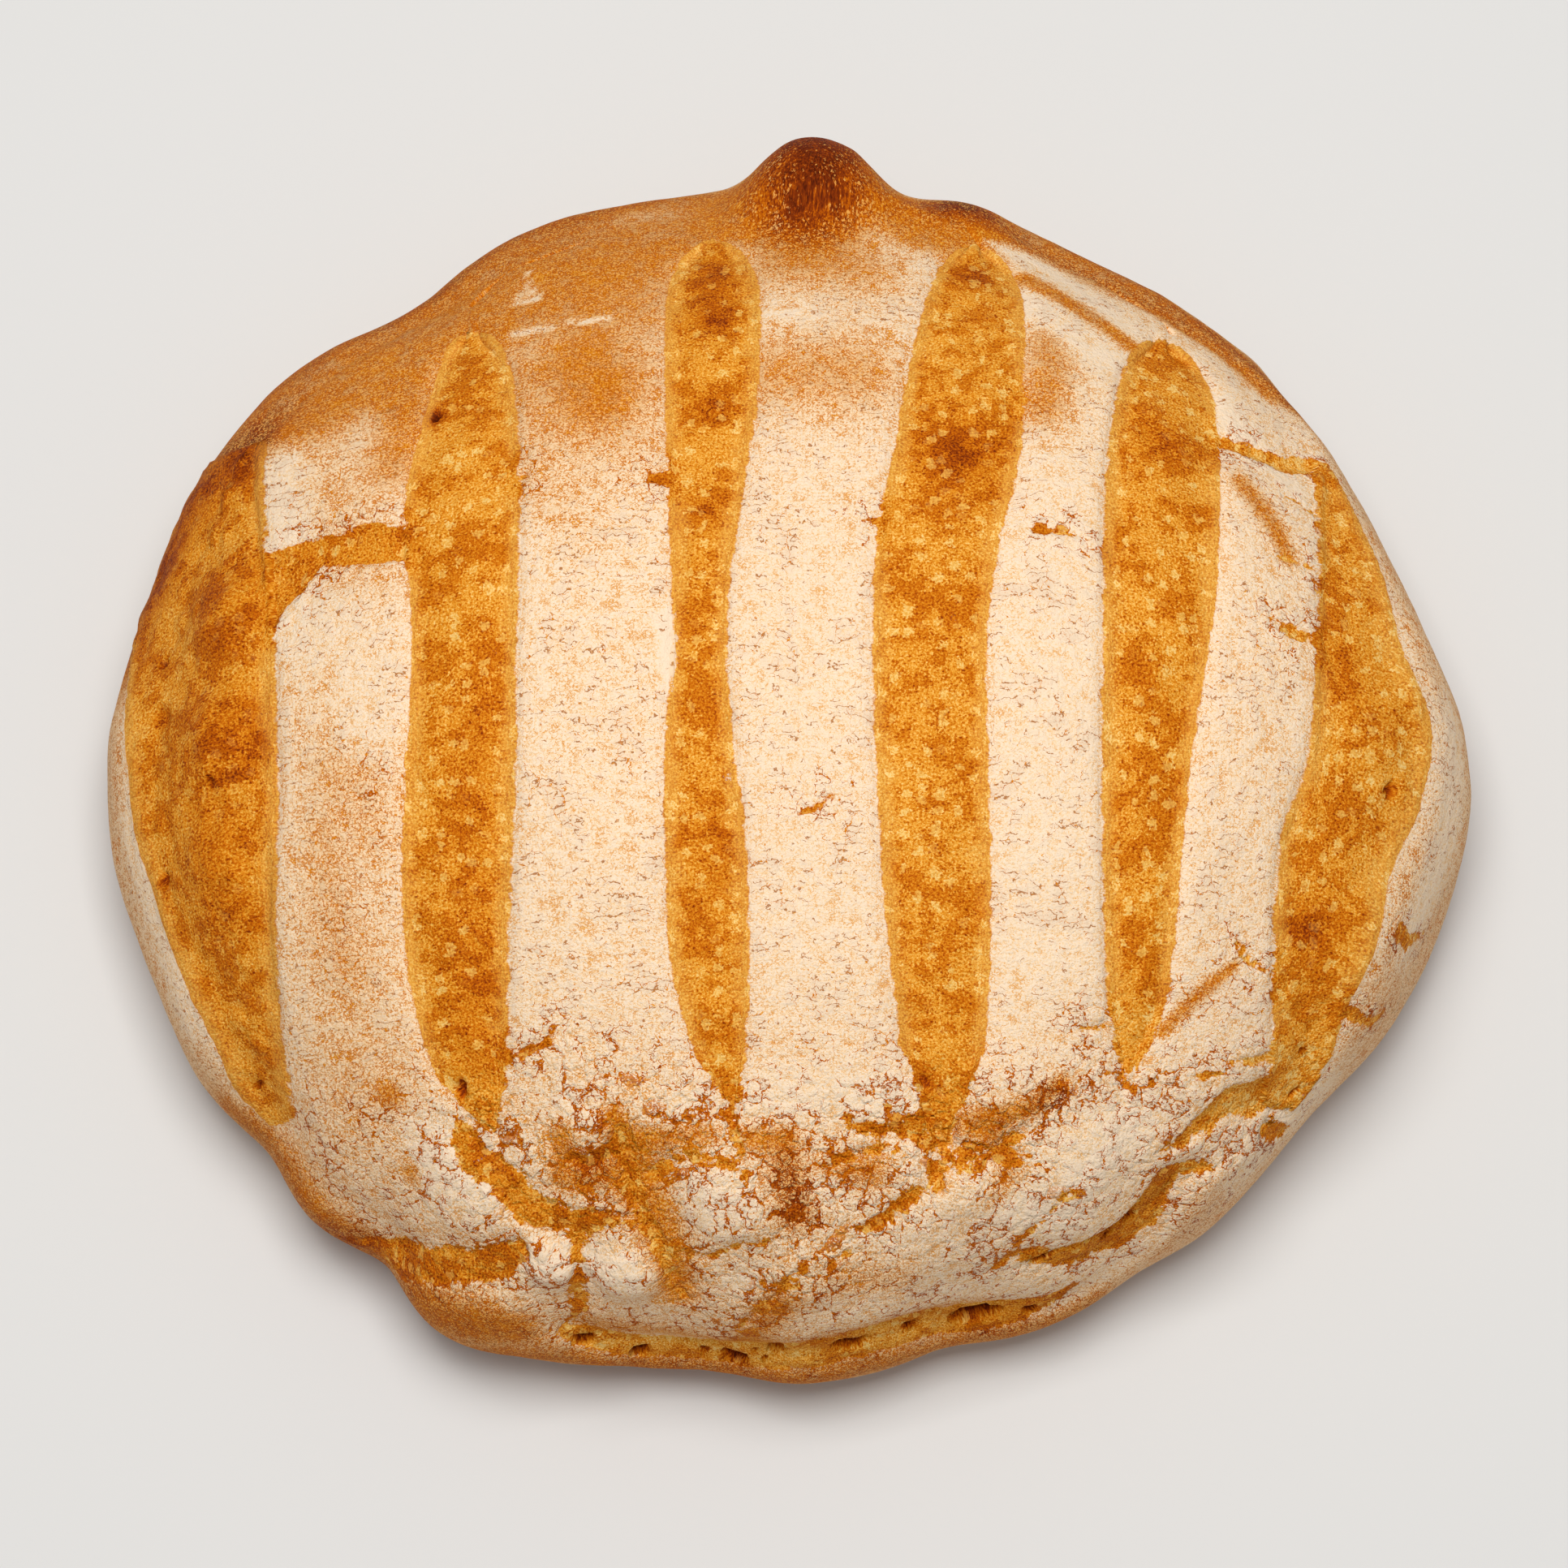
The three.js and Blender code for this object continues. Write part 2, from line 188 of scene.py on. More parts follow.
# %% The end scores
END_SCORES = [
    (-1, [(-67, -90), (-46, -92), (-18, -92), (11, -93), (28, -95), (57, -97)]),
    (1, [(-65, 83), (-53, 84), (-33, 84), (-19, 86), (-9, 90), (20, 93), (53, 94)]),
]
FOOT_EDGE = [(0, 52), (9, 54), (18, 51), (27, 49), (45, 43), (90, 40), (135, 42), (148, 36), (158, 31),
             (168, 32), (175, 38), (181, 41), (201, 41), (208, 38), (212, 33), (232, 31), (241, 41),
             (248, 29), (257, 21), (264, 22), (275, 27.5), (287, 24), (297, 23.5), (307, 31), (312, 43),
             (318, 41), (324, 37), (329, 43), (333, 50), (338, 54), (346, 55), (353, 52), (360, 52)]
foot = follow(FOOT_EDGE, around)[0]


def into_end(side, edge):
    ends = np.minimum(y - edge[0][0], edge[-1][0] - y)
    return np.minimum.reduce([side * (x - follow(edge, y)[0]), ends, z - foot])


opened = np.max([into_end(side, edge) for side, edge in END_SCORES], axis=0)
print("end scores", len(END_SCORES), "points", (opened > 0).sum())

# %% The smaller tears, as runs of stops with half a width
FLANK_TEARS = [
    [(248, 30, 2), (250, 28, 3), (253, 25, 3.3), (256, 22.5, 3.6), (260, 22, 3.4), (264, 23.5, 4.4),
     (267, 26, 4.8), (271, 29, 5.6), (275, 30, 5.4), (279, 29, 5.2), (284, 27, 4.8), (288, 25, 5.2),
     (292, 25, 4.2), (295, 27, 3), (297, 29, 1.5)],
    [(226, 21, 1.5), (228.5, 23.5, 3), (232, 29.5, 4), (235.5, 37, 4), (239.5, 43, 3.4), (242, 49, 2.5)],
    [(290, 45, 0.8), (292, 47, 1), (294, 45, 2), (297, 41, 3.4), (300, 39, 3.8), (303, 37, 4), (306, 38, 4),
     (308, 44, 3.6), (310, 48, 2.8), (312, 46, 1.8), (314, 44, 0.8)],
    [(231, 60, 2), (234, 58, 3.2), (239, 57, 3.2), (241, 55, 3.4), (243, 55, 3.2), (246, 56, 2.4),
     (249, 57, 2), (252, 58, 1.6)],
    [(247, 54, 1.6), (248, 45, 1.7), (249, 38, 1.3), (248.5, 33, 0.5)],
    [(342, 50, 1.6), (342, 44, 1.6), (344, 36, 0.8)],
    [(333, 50, 1.4), (334, 42, 1.2), (336, 39, 0.6)],
]
TOP_TEARS = [
    [(-105, 28, 5), (-100, 29.5, 4), (-94, 30.5, 2.2), (-88, 31, 2.6), (-81, 30, 3), (-77, 31, 4.2),
     (-72, 30.5, 3.4), (-68, 30.5, 2.5)],
    [(-95, 22, 4.8), (-90, 27, 3.4), (-86, 30, 2.2)],
    [(75, 53, 1.5), (82, 52, 1.6), (88, 50.5, 1.8), (94, 52, 2)],
    [(-32, -73, 0.7), (-30, -77, 1.4), (-29, -83, 1.6), (-28, -88, 1.8), (-25, -92, 1.6), (-23, -96, 1),
     (-20, -100, 0.6)],
    [(-40, -79, 0.9), (-37, -80, 1.4), (-34, -79, 1.5), (-31, -76, 1.6)],
    [(-26, -82, 1.5), (-22, -80, 1.2), (-18, -80, 1), (-13, -81, 0.7), (-11, -82, 0.6)],
    [(-12, -73, 1.4), (-11, -75, 0.7), (-10, -78, 0.5), (-9, -83, 0.6)],
    [(-14, -72, 0.8), (-17, -72, 0.6), (-19, -74, 0.4)],
    [(-20, -94, 0.9), (-15, -95, 0.8), (-12, -94, 0.6), (-9, -93, 0.6), (-4, -93, 0.5)],
    [(24, -70, 3), (25, -75, 3), (25, -77, 1.8), (26, -79, 1.2)],
    [(25, -77, 1.4), (30, -78, 1.3), (34, -79, 1.2), (37, -77, 1.8), (40, -74, 0.8), (44, -71, 0.5)],
    [(26, -81, 0.8), (31, -81, 0.8), (35, -80, 0.8), (38, -79, 1.2), (42, -79, 0.7), (45, -80, 0.3)],
    [(24, -78, 1.3), (20, -75, 1.7), (16, -76, 1.6), (11, -75, 1.1), (9, -75, 0.8), (8, -72, 0.3)],
    [(23, -77, 0.7), (18, -73, 0.6), (14, -71, 0.3)],
    [(16, -78, 1.3), (11, -79, 1.1), (6, -81, 0.8), (4, -82, 0.3)],
    [(24, -81, 1.6), (25, -84, 1.2)],
    [(21, -85, 1.5), (18, -87, 1.4), (16, -89, 1.5), (11, -91, 1)],
    [(9, -94, 0.6), (6, -96, 0.6), (4, -97, 0.4)],
    [(45, -87, 0.5), (46, -85, 0.6), (48, -84, 0.6), (50, -84, 0.4)],
    [(39, -92, 0.7), (41, -90, 0.8), (44, -88, 0.4)],
    [(1, -96, 0.4), (-1, -98, 0.7), (-4, -101, 0.8), (-9, -104, 0.7), (-11, -105, 0.4)],
    [(-6, -99, 0.3), (-3, -99, 0.5), (0, -99, 0.4)],
    [(89, -60, 4.5), (82, -64, 4.4), (77, -67, 3.8), (72, -70, 2.8), (68, -74, 1.8), (63, -77, 0.6)],
    [(84, -69, 2), (87.5, -68.5, 1.8)],
    [(85, -58, 1.4), (80, -60, 0.7), (76, -61, 0.2)],
    [(57, -66, 0.2), (60, -66, 0.4), (64, -65, 0.2)],
    [(68, -64.5, 0.2), (71, -64, 0.4), (75, -63, 0.2)],
    [(54, -65, 0.8), (57, -65, 0.6), (59, -67, 0.2)],
    [(86, 30, 0.3), (90, 29, 0.7), (94, 28, 1)],
    [(84, 17, 0.4), (88, 15, 1.2), (93, 14, 1.2)],
    [(77, -41, 0.3), (80, -44, 0.7), (84, -46, 1)],
    [(88, 43, 0.3), (94, 41, 0.8)],
    [(-29, 40, 0.5), (-24, 40, 1.2)],
    [(11, 31, 0.4), (15, 31, 1.2)],
    [(39, 57, 1.2), (43, 57, 0.4)],
    [(42, 30.5, 0.6), (47, 30.5, 0.9), (50, 30, 0.5)],
    [(-49, 42, 1), (-46, 42, 0.3)],
    [(0, -23, 0.2), (4, -21, 0.5), (8, -18, 0.2)],
    [(-48, -62, 1), (-44, -60.5, 0.8), (-42, -58, 0.2)],
    [(49, -58, 0.3), (54, -57, 1)],
]
TINY = 0.001


def along_run(run, onto):
    spots = [onto(*stop[:2]) for stop in run]
    halves = [stop[2] for stop in run]
    for a, b, half_a, half_b in zip(spots, spots[1:], halves, halves[1:]):
        t = np.clip((place - a) @ (b - a) / max((b - a) @ (b - a), TINY), 0, 1)
        away = np.linalg.norm(place - a - t[:, None] * (b - a), axis=1)
        yield away, half_a + t * (half_b - half_a)


def into_run(run, onto):
    return np.max([half - away for away, half in along_run(run, onto)], axis=0)


flank_torn = np.max([into_run(run, on_flank) for run in FLANK_TEARS], axis=0)
top_torn = np.max([into_run(run, on_top) for run in TOP_TEARS], axis=0)
torn = np.maximum(flank_torn, top_torn)
FARTHEST = 12
bare = np.clip(np.maximum.reduce([scored, opened, torn]), -FARTHEST, FARTHEST)
print("share of the points that are torn open", (bare > 0).mean().round(3))

# %% [markdown]
# ## Flour and browning
# Flour lies thick on the strips between the scores and thin on the shoulder at the back, where it was brushed
# off; the knob, which stood out into the heat, baked darkest. In Weight Paint mode both would be painted by
# hand. Here they are laid as a list of soft strokes, which can be read and repeated: an amount, and a run of
# stops with the brush's reach at each.

# %% A soft brush
def stroke(amount, run, onto):
    run = run + run[-1:]
    return amount * np.max([np.exp(-(away / half) ** 2) for away, half in along_run(run, onto)], axis=0)


def strokes(laid, onto):
    return sum(stroke(amount, run, onto) for amount, run in laid)


# %% Lay the flour
FLOUR_EVERYWHERE = 0.94
FLOUR_ON_TOP = [
    (-0.6, [(-104, 60, 14), (-87, 74, 16), (-69, 83, 19), (-50, 91, 17), (-30, 93, 15), (-14, 99, 10)]),
    (-0.4, [(-59, 82, 9), (-59, 76, 8)]),
    (-0.3, [(-49, 78, 10), (-38, 76, 12), (-28, 76, 10)]),
    (-0.25, [(-50, 63, 9), (-40, 62, 11), (-30, 62, 9)]),
    (-0.2, [(-48, 50, 12), (-30, 48, 12)]),
    (-0.25, [(-38, 64, 6), (-35, 55, 6)]),
    (-0.12, [(-48, 39, 6), (-38, 30, 6)]),
    (-0.5, [(-86, 64, 12), (-74, 66, 9), (-70, 58, 7)]),
    (-0.3, [(-72, 47, 6)]),
    (-0.18, [(-84, 40, 16), (-78, 20, 12), (-78, -60, 18)]),
    (-0.8, [(20, 102, 7), (31, 104, 8)]),
    (-0.6, [(23, 95, 5), (32, 92, 6)]),
    (-0.7, [(38, 102, 4), (53, 96, 5), (66, 88, 5), (78, 78, 4), (87, 69, 4)]),
    (-0.7, [(42, 86, 2.5), (52, 79, 2.5), (62, 71, 2)]),
    (-0.4, [(46, 70, 6), (44, 56, 6)]),
    (-0.35, [(-4, 61, 10), (10, 61, 10)]),
    (-0.3, [(-3, 85, 8), (12, 84, 9)]),
    (-0.55, [(80, 44, 2.5), (86, 35, 2.5), (88, 30, 2)]),
    (-0.6, [(64, -57, 1.2), (71, -50, 1.5), (77, -45, 1)]),
    (-0.1, [(-83, -10, 4), (-76, -14, 5), (-74, -24, 4)]),
    (-0.1, [(-84, -22, 5), (-82, -38, 5), (-79, -45, 5)]),
    (0.12, [(46, 30, 10), (45, 5, 10), (43, -20, 10), (42, -44, 10)]),
    (0.06, [(4, 20, 12), (3, -10, 12), (2, -40, 12)]),
    (-0.5, [(-72, -67, 2.2)]),
    (-0.45, [(-68, -79, 2.5)]),
    (-0.4, [(-41, -75, 2.5), (-41, -82, 3), (-34, -82, 3)]),
    (-0.45, [(-32, -73, 2), (-29, -79, 4), (-26, -86, 5), (-24, -92, 5), (-21, -99, 3.5)]),
    (-0.35, [(-28, -77, 2.5), (-16, -76, 2.5)]),
    (-0.4, [(-8, -77, 2.5), (-2, -77, 2.5)]),
    (-0.35, [(-2, -82, 4), (0, -89, 4)]),
    (-0.35, [(6, -82, 3), (13, -82, 4)]),
    (-0.4, [(29, -74, 3), (34, -76, 3)]),
    (-0.35, [(37, -82, 3), (35, -86, 3)]),
    (-0.35, [(-12, -106, 3), (-3, -102, 4)]),
    (-0.5, [(33, -73, 2.5), (41, -71, 2.5), (46, -67, 2)]),
    (-0.2, [(8, -98, 5), (17, -98, 5)]),
    (0.3, [(-94, 49, 5), (-92, 35, 5)]),
    (0.2, [(-89, 20, 6), (-78, 11, 9), (-76, -2, 7)]),
    (0.6, [(-49.5, 89, 0.7), (-50, 85, 1.4), (-51.5, 81, 1.6), (-47.5, 81.5, 1.2), (-49.5, 86, 1)]),
    (0.45, [(-52, 73, 0.8), (-45, 74, 0.8)]),
    (0.45, [(-42, 74.5, 0.7), (-34, 74.5, 0.7)]),
    (0.4, [(-6, 74, 0.7), (4, 73.5, 0.6)]),
    (0.35, [(41, 80, 3), (50, 71, 3.5), (59, 65, 3)]),
    (0.35, [(35, 95, 1.5), (46, 90, 2), (55, 83, 2), (61, 76, 1.5)]),
    (0.3, [(77, 61, 4), (81, 55, 3.5), (90, 46, 3)]),
    (0.35, [(-62, -78, 8), (-55, -81, 7)]),
    (0.2, [(-40, -71, 3)]),
    (0.2, [(-21, -72, 3), (1, -70, 5), (17, -70, 4)]),
    (0.3, [(-14, -87, 6)]),
    (0.25, [(5, -84, 3)]),
    (0.4, [(-45, -96, 4), (-30, -97, 5)]),
    (0.2, [(-9, -99, 3)]),
    (0.3, [(37, -87, 4), (47, -88, 4), (51, -80, 5), (57, -75, 6)]),
    (0.9, [(-22.5, 13, 1.6), (-22.3, 6, 2), (-22, 0, 1.4)]),
    (0.5, [(-12, -16, 1.4), (-12, -22, 1.2)]),
]
FLOUR_ON_FLANK = [
    (-0.75, [(146, 34, 10), (158, 34, 10), (168, 33, 9)]),
    (-0.3, [(212, 24, 6), (216, 28, 7), (220, 30, 7), (225, 27, 6)]),
    (0.2, [(186, 40, 5), (196, 38, 6), (204, 36, 5)]),
    (-0.4, [(236, 28, 6), (240, 30, 6), (244, 34, 5)]),
    (-0.5, [(119, 38, 5), (113, 40, 5), (106, 39, 5), (100, 41, 5), (97, 45, 4)]),
    (0.35, [(2, 45, 6), (351, 41, 7), (343, 43, 6)]),
    (0.3, [(318, 36, 8), (326, 34, 8)]),
    (-0.4, [(70, 47, 5), (58, 45, 5), (46, 43, 5), (36, 43, 4)]),
    (-0.25, [(250, 33, 4), (263, 29, 4), (275, 36, 4), (288, 32, 4)]),
    (-0.3, [(226, 15, 8), (236, 13, 8)]),
    (-0.3, [(243, 18, 5), (248, 21, 4), (253, 16, 5), (260, 14, 6), (268, 18, 5), (276, 21, 5),
             (283, 18, 5), (292, 18, 5), (298, 19, 5)]),
]
flour = FLOUR_EVERYWHERE + upper_side * strokes(FLOUR_ON_TOP, on_top) + strokes(FLOUR_ON_FLANK, on_flank)
print("flour strokes", len(FLOUR_ON_TOP) + len(FLOUR_ON_FLANK))

# %% Take flour away where it charred, at the foot and at the front
CHARRED_ON_TOP = [(1.0, [(3, 114, 15), (2, 100, 10)]), (0.4, [(24, 102, 5), (34, 101, 6)])]
FLOUR_LEFT = 0.42
below_foot = step(foot - z, -1, 3)
turned_down = step(-facing[:, 2], 0.2, 0.8)
at_front = step(-y, 52, 78)
charred = upper_side * strokes(CHARRED_ON_TOP, on_top)
flour = np.maximum(flour - 1.2 * charred, FLOUR_LEFT - charred)
flour -= 0.18 * below_foot + 0.2 * turned_down + 0.09 * at_front * step(30 - x, 0, 40)
print("flour", flour.min().round(2), flour.max().round(2))

# %% Lay the browning
BROWN_EVERYWHERE = 0.3
BROWN_ON_TOP = [
    (0.56, [(3, 115, 11), (4, 106, 9)]),
    (0.2, [(1, 97, 8)]),
    (0.6, [(30, 105, 6)]),
    (0.3, [(-101, 55, 6)]),
    (0.03, [(-102, 40, 14), (-104, 0, 16), (-102, -40, 14)]),
    (0.12, [(-104, 20, 6)]),
    (0.2, [(-103, -1, 8)]),
    (0.2, [(-98, 4, 1.6), (-96, 0, 2), (-96, -4, 2), (-98.5, -9, 1.4), (-104, -10.5, 1)]),
    (0.2, [(-105, -20, 7), (-102, -30, 7)]),
    (0.4, [(-15, 86, 4), (-15, 73, 4)]),
    (0.35, [(-15, 54, 3.5)]),
    (0.3, [(-17, 32, 4)]),
    (0.2, [(-14, -26, 4), (-14, -36, 4)]),
    (0.35, [(29, 45, 7)]),
    (0.25, [(32, 86, 4)]),
    (0.25, [(65, 51, 5)]),
    (0.5, [(-65, 56, 1.6)]),
    (0.2, [(-56, -4, 3), (-56, -62, 4)]),
    (0.35, [(90, -37, 4)]),
    (0.12, [(97, 9, 8)]),
    (0.3, [(-2, -82, 3.5), (0, -89, 3.5)]),
    (0.2, [(-36, -80, 3.5)]),
    (0.3, [(44, -69, 3.5)]),
]
BROWN_ON_FLANK = [
    (0.36, [(149, 45, 9), (158, 36, 9), (166, 34, 7)]),
    (0.2, [(70, 47, 5), (58, 45, 5), (46, 43, 5), (36, 43, 4)]),
    (-0.2, [(250, 27, 5), (262, 23, 5), (275, 29, 6), (288, 26, 5)]),
    (0.1, [(140, 40, 8), (125, 40, 8), (110, 42, 8)]),
    (0.15, [(200, 12, 8), (212, 14, 9), (222, 18, 9), (234, 12, 9)]),
    (0.08, [(243, 18, 5), (248, 21, 4), (253, 16, 5), (260, 14, 6), (268, 18, 5), (276, 21, 5),
            (283, 18, 5), (292, 18, 5), (298, 19, 5)]),
]
brown_and_pore_shade = BROWN_EVERYWHERE + upper_side * strokes(BROWN_ON_TOP, on_top) + strokes(BROWN_ON_FLANK, on_flank)
brown_and_pore_shade += 0.1 * below_foot + step(torn, -1, 1) * (0.1 - 0.2 * step(x, 60, 80)) + 0.25 * turned_down
print("brown_and_pore_shade", brown_and_pore_shade.min().round(2), brown_and_pore_shade.max().round(2))

# %% Where the flour cracked into flakes
CRACKED_ON_TOP = [
    (0.5, [(-56, -68, 4), (-49, -75, 4), (-46, -79, 4), (-40, -76, 5), (-37, -80, 5), (-32, -77, 5)]),
    (0.5, [(-34, -66, 7), (-26, -70, 6), (-19, -76, 5), (-12, -75, 5), (-5, -77, 5), (4, -80, 5)]),
    (0.5, [(-5, -84, 5), (-1, -90, 5), (4, -92, 5)]),
    (0.5, [(4, -80, 5), (14, -79, 5), (20, -76, 5)]),
    (0.5, [(30, -74, 5), (38, -73, 5), (45, -70, 4)]),
    (0.5, [(-12, -104, 5), (-3, -101, 5)]),
    (0.2, [(-74, -12, 8), (-78, -28, 8), (-80, -42, 8)]),
    (0.2, [(58, -60, 8), (70, -52, 8)]),
]
CRACKED_EVERYWHERE = 0.12
crackle = CRACKED_EVERYWHERE + 0.35 * (at_front * step(z, 20, 36)) + 0.3 * step(torn, -7, -1)
crackle = np.clip(crackle + upper_side * strokes(CRACKED_ON_TOP, on_top), 0, 1)
print("crackle", crackle.min().round(2), crackle.max().round(2))

# %% [markdown]
# ## Small relief
# Torn crumb is lumpy, with a raised border where the skin pulled away, blisters on it, and pores torn open in
# the band above the foot. Small tears lie a little lower than the skin, which is smoother. A Displace
# modifier could make the lumps, but not each pore in its place. So the points move along their normals: by
# noise of two sizes, by a bump for each pillow and blister, and inwards for each pore. Each pore is also
# coloured darker the deeper it is, as painted shade.

# %% Lumps in crumb and skin
def lumps(span, seed):
    shift = Vector((seed, -seed, seed / 2))
    return np.array([noise.noise(Vector(spot) / span + shift) for spot in place])


FINE_SPAN, COARSE_SPAN = 3.2, 9
fine = lumps(FINE_SPAN, 11)
coarse = lumps(COARSE_SPAN, 23)
crumb = step(bare, -0.3, 0.7)
small_tear = step(torn, -0.5, 1.0) * (scored < 0) * (opened < 0)
rise = crumb * (0.4 * coarse + 0.3 * fine) + (1 - crumb) * (0.35 * coarse + 0.1 * fine) * (0.4 + crackle)
BORDER_RISE, BORDER_WIDTH, TEAR_DEPTH, BAND_RISE = 0.9, 3, 0.7, 1.2
rise += crumb * (1 - small_tear) * BORDER_RISE * np.exp(-np.maximum(bare, 0) / BORDER_WIDTH)
rise -= TEAR_DEPTH * small_tear
rise += BAND_RISE * step(flank_torn, -0.3, 2)
print("lumps", rise.min().round(2), rise.max().round(2), "mm")

# %% Pillows pushed up between the cracks and on one end score: x, y, reach, height
PILLOWS = [(-37, -75, 4.5, 1.3), (-30, -98, 6, 1.6), (-44, -96, 5, 1), (-12, -88, 8, 1.4), (3, -98, 8, 1),
           (19, -81, 4, 0.8), (29, -85, 5, 0.8), (35, -68, 6, 1), (-60, -81, 9, 1.1), (49, -79, 8, 1),
           (-103, -1, 8, 1), (-105, -22, 7, 0.6), (-104, 20, 7, 0.6)]
for across, along, reach, height in PILLOWS:
    away = np.linalg.norm(place - on_top(across, along), axis=1) / reach
    rise += height * np.exp(-away ** 4)
print("pillows", len(PILLOWS))

# %% Blisters on the crumb
BLISTERS = 150
BLISTER_SEED = 5
BLISTER_INSET = 2.5
BLISTER_REACH = (1.2, 2.8)
BLISTER_SLOPE = 0.16
chance = np.random.default_rng(BLISTER_SEED)
for k in chance.choice(np.flatnonzero(bare > BLISTER_INSET), BLISTERS, replace=False):
    reach = chance.uniform(*BLISTER_REACH)
    away = np.linalg.norm(place - place[k], axis=1) / reach
    rise += BLISTER_SLOPE * reach * np.clip(1 - away ** 2, 0, 1)
print("blisters", BLISTERS)

# %% Pores: place, half length and half height, depth
FLANK_PORES = [(250, 27, 2.2, 1.4, 2.5), (255, 22, 2, 1.5, 2.5), (264, 22.5, 2.8, 1.8, 3),
               (268, 29, 1.7, 2, 3.5), (275, 30, 3.2, 1.8, 3), (281, 28.5, 1.2, 1.2, 2),
               (288, 25.5, 5, 2.2, 3.5), (293, 24.5, 1.2, 1.3, 2), (261, 22, 1, 1, 1.4),
               (267, 25, 0.9, 0.8, 1.2), (266, 27, 0.7, 0.7, 1), (177.3, 47, 2.4, 2.8, 0.7),
               (295, 43, 2.2, 1, 1.5), (302, 39, 1, 0.8, 1.2), (305, 40, 1, 1, 1.5), (172, 45, 1, 1, 1.5),
               (192, 45, 1, 1.3, 1.5), (212, 38, 0.9, 0.8, 1.5), (328, 47, 0.6, 1.6, 1.2),
               (330, 51, 0.4, 1, 1), (325, 40.5, 1.4, 0.6, 1.3)]
TOP_PORES = [(-65, 56, 0.9, 1.3, 1.2), (-59, -67, 0.8, 2.2, 1.6), (-105, -10, 1.1, 0.8, 1.5),
             (106, -11, 0.8, 1.3, 2), (22, -67, 1, 0.7, 1), (-62, -47, 0.6, 1.1, 1)]
PORE_FLOOR, PORE_BARE, PORE_SHADE = 0.3, 4, 0.9
pore_shade = np.zeros(len(place))
for pores, onto in ((FLANK_PORES, on_flank), (TOP_PORES, on_top)):
    for a, b, half_along, half_up, depth in pores:
        offset = place - onto(a, b)
        spot_angle = math.radians(a) if onto is on_flank else -math.pi / 2
        sideways = offset @ np.array([-math.sin(spot_angle), math.cos(spot_angle), 0])
        upward = np.sqrt(np.maximum(np.sum(offset ** 2, axis=1) - sideways ** 2, 0))
        hollow = np.clip(1 + PORE_FLOOR - (sideways / half_along) ** 2 - (upward / half_up) ** 2, 0, 1)
        rise -= depth * hollow
        pore_shade = np.maximum(pore_shade, hollow * min(1, depth / 2))
# Painted shade: the crumb inside each pore is darkened by its depth, where shade would fall in the hollow
brown_and_pore_shade += PORE_SHADE * pore_shade
bare = np.where(pore_shade > 0.02, np.maximum(bare, PORE_BARE), bare)
print("points inside pores", (pore_shade > 0.5).sum())

# %% [markdown]
# ## The crust laid flat
# Flour cracks and crumb grain lie in the surface, so their patterns are drawn on the crust unrolled around
# its crown: the direction from the crown is kept, and so is the way walked over the dome, taken as half an
# ellipse. Two coordinates then stand for three, which also makes the patterns quicker to work out. A UV
# unwrap would need seams, and the patterns would break there.

# %% Unroll the crust around its crown
HALF_LENGTH, HALF_DEPTH = 124.0, 112.0
UNROLL_REACH, UNROLL_RISE, BELLY_HEIGHT = 118.0, 70.0, 17.0
LEANS = 721
leans = np.linspace(0, math.pi, LEANS)
strides = np.hypot(UNROLL_REACH * np.cos(leans), UNROLL_RISE * np.sin(leans)) * (leans[1] - leans[0])
walked = np.cumsum(strides) - strides[0]
reach = np.hypot(x / HALF_LENGTH, y / HALF_DEPTH)
dome = np.sqrt(np.maximum(1 - reach ** 2, 0))
climb = (z - BELLY_HEIGHT) / UNROLL_RISE
# On top an even dome stands in for the height, so no pattern is stretched at a score's edge
lean = np.arctan2(reach, climb + upper_side * step(0.95 - reach, 0, 0.2) * (dome - climb))
out = np.interp(lean, leans, walked)
way = np.radians(around)
flat = np.stack([out * np.cos(way), out * np.sin(way), np.zeros(len(place))], axis=1)
print("unrolled to", np.abs(flat).max(axis=0).round(0), "mm")

# %% Move the points and keep the numbers as attributes
rise *= step(z, 2, 10)
crust.vertices.foreach_set("co", ((place + LOAF_CENTRE + rise[:, None] * facing) * MM).ravel())
crust.update()
crust.polygons.foreach_set("use_smooth", np.ones(len(crust.polygons), bool))
for name, values in {"bare": bare, "flour": flour, "brown_and_pore_shade": brown_and_pore_shade, "crackle": crackle}.items():
    layer = crust.attributes.new(name, "FLOAT", "POINT")
    layer.data.foreach_set("value", values.astype(np.float32))
layer = crust.attributes.new("flat", "FLOAT_VECTOR", "POINT")
layer.data.foreach_set("vector", flat.astype(np.float32).ravel())
print("relief", rise.min().round(2), rise.max().round(2), "mm")

# %% [markdown]
# ## Node helpers
# A shader is a long sum of noises and steps. A small class lets such sums be written like sums: each sign
# adds one Math node and links it.

# %% Numbers that are nodes
material = bpy.data.materials.new("floured_crust")
material.use_nodes = True
tree = material.node_tree
tree.nodes.clear()


def node(kind, settings=None, inputs=None):
    made = tree.nodes.new(kind)
    for key, value in (settings or {}).items():
        setattr(made, key, value)
    for key, value in (inputs or {}).items():
        if isinstance(value, Term):
            tree.links.new(value.socket, made.inputs[key])
        else:
            made.inputs[key].default_value = value
    return made


def maths(operation, a, b=0.0):
    return Term(node("ShaderNodeMath", {"operation": operation}, {0: a, 1: b}).outputs[0])


class Term:
    def __init__(self, socket):
        self.socket = socket

    def __add__(self, other):
        return maths("ADD", self, other)

    def __sub__(self, other):
        return maths("SUBTRACT", self, other)

    def __rsub__(self, other):
        return maths("SUBTRACT", other, self)

    def __mul__(self, other):
        return maths("MULTIPLY", self, other)

    __radd__ = __add__
    __rmul__ = __mul__


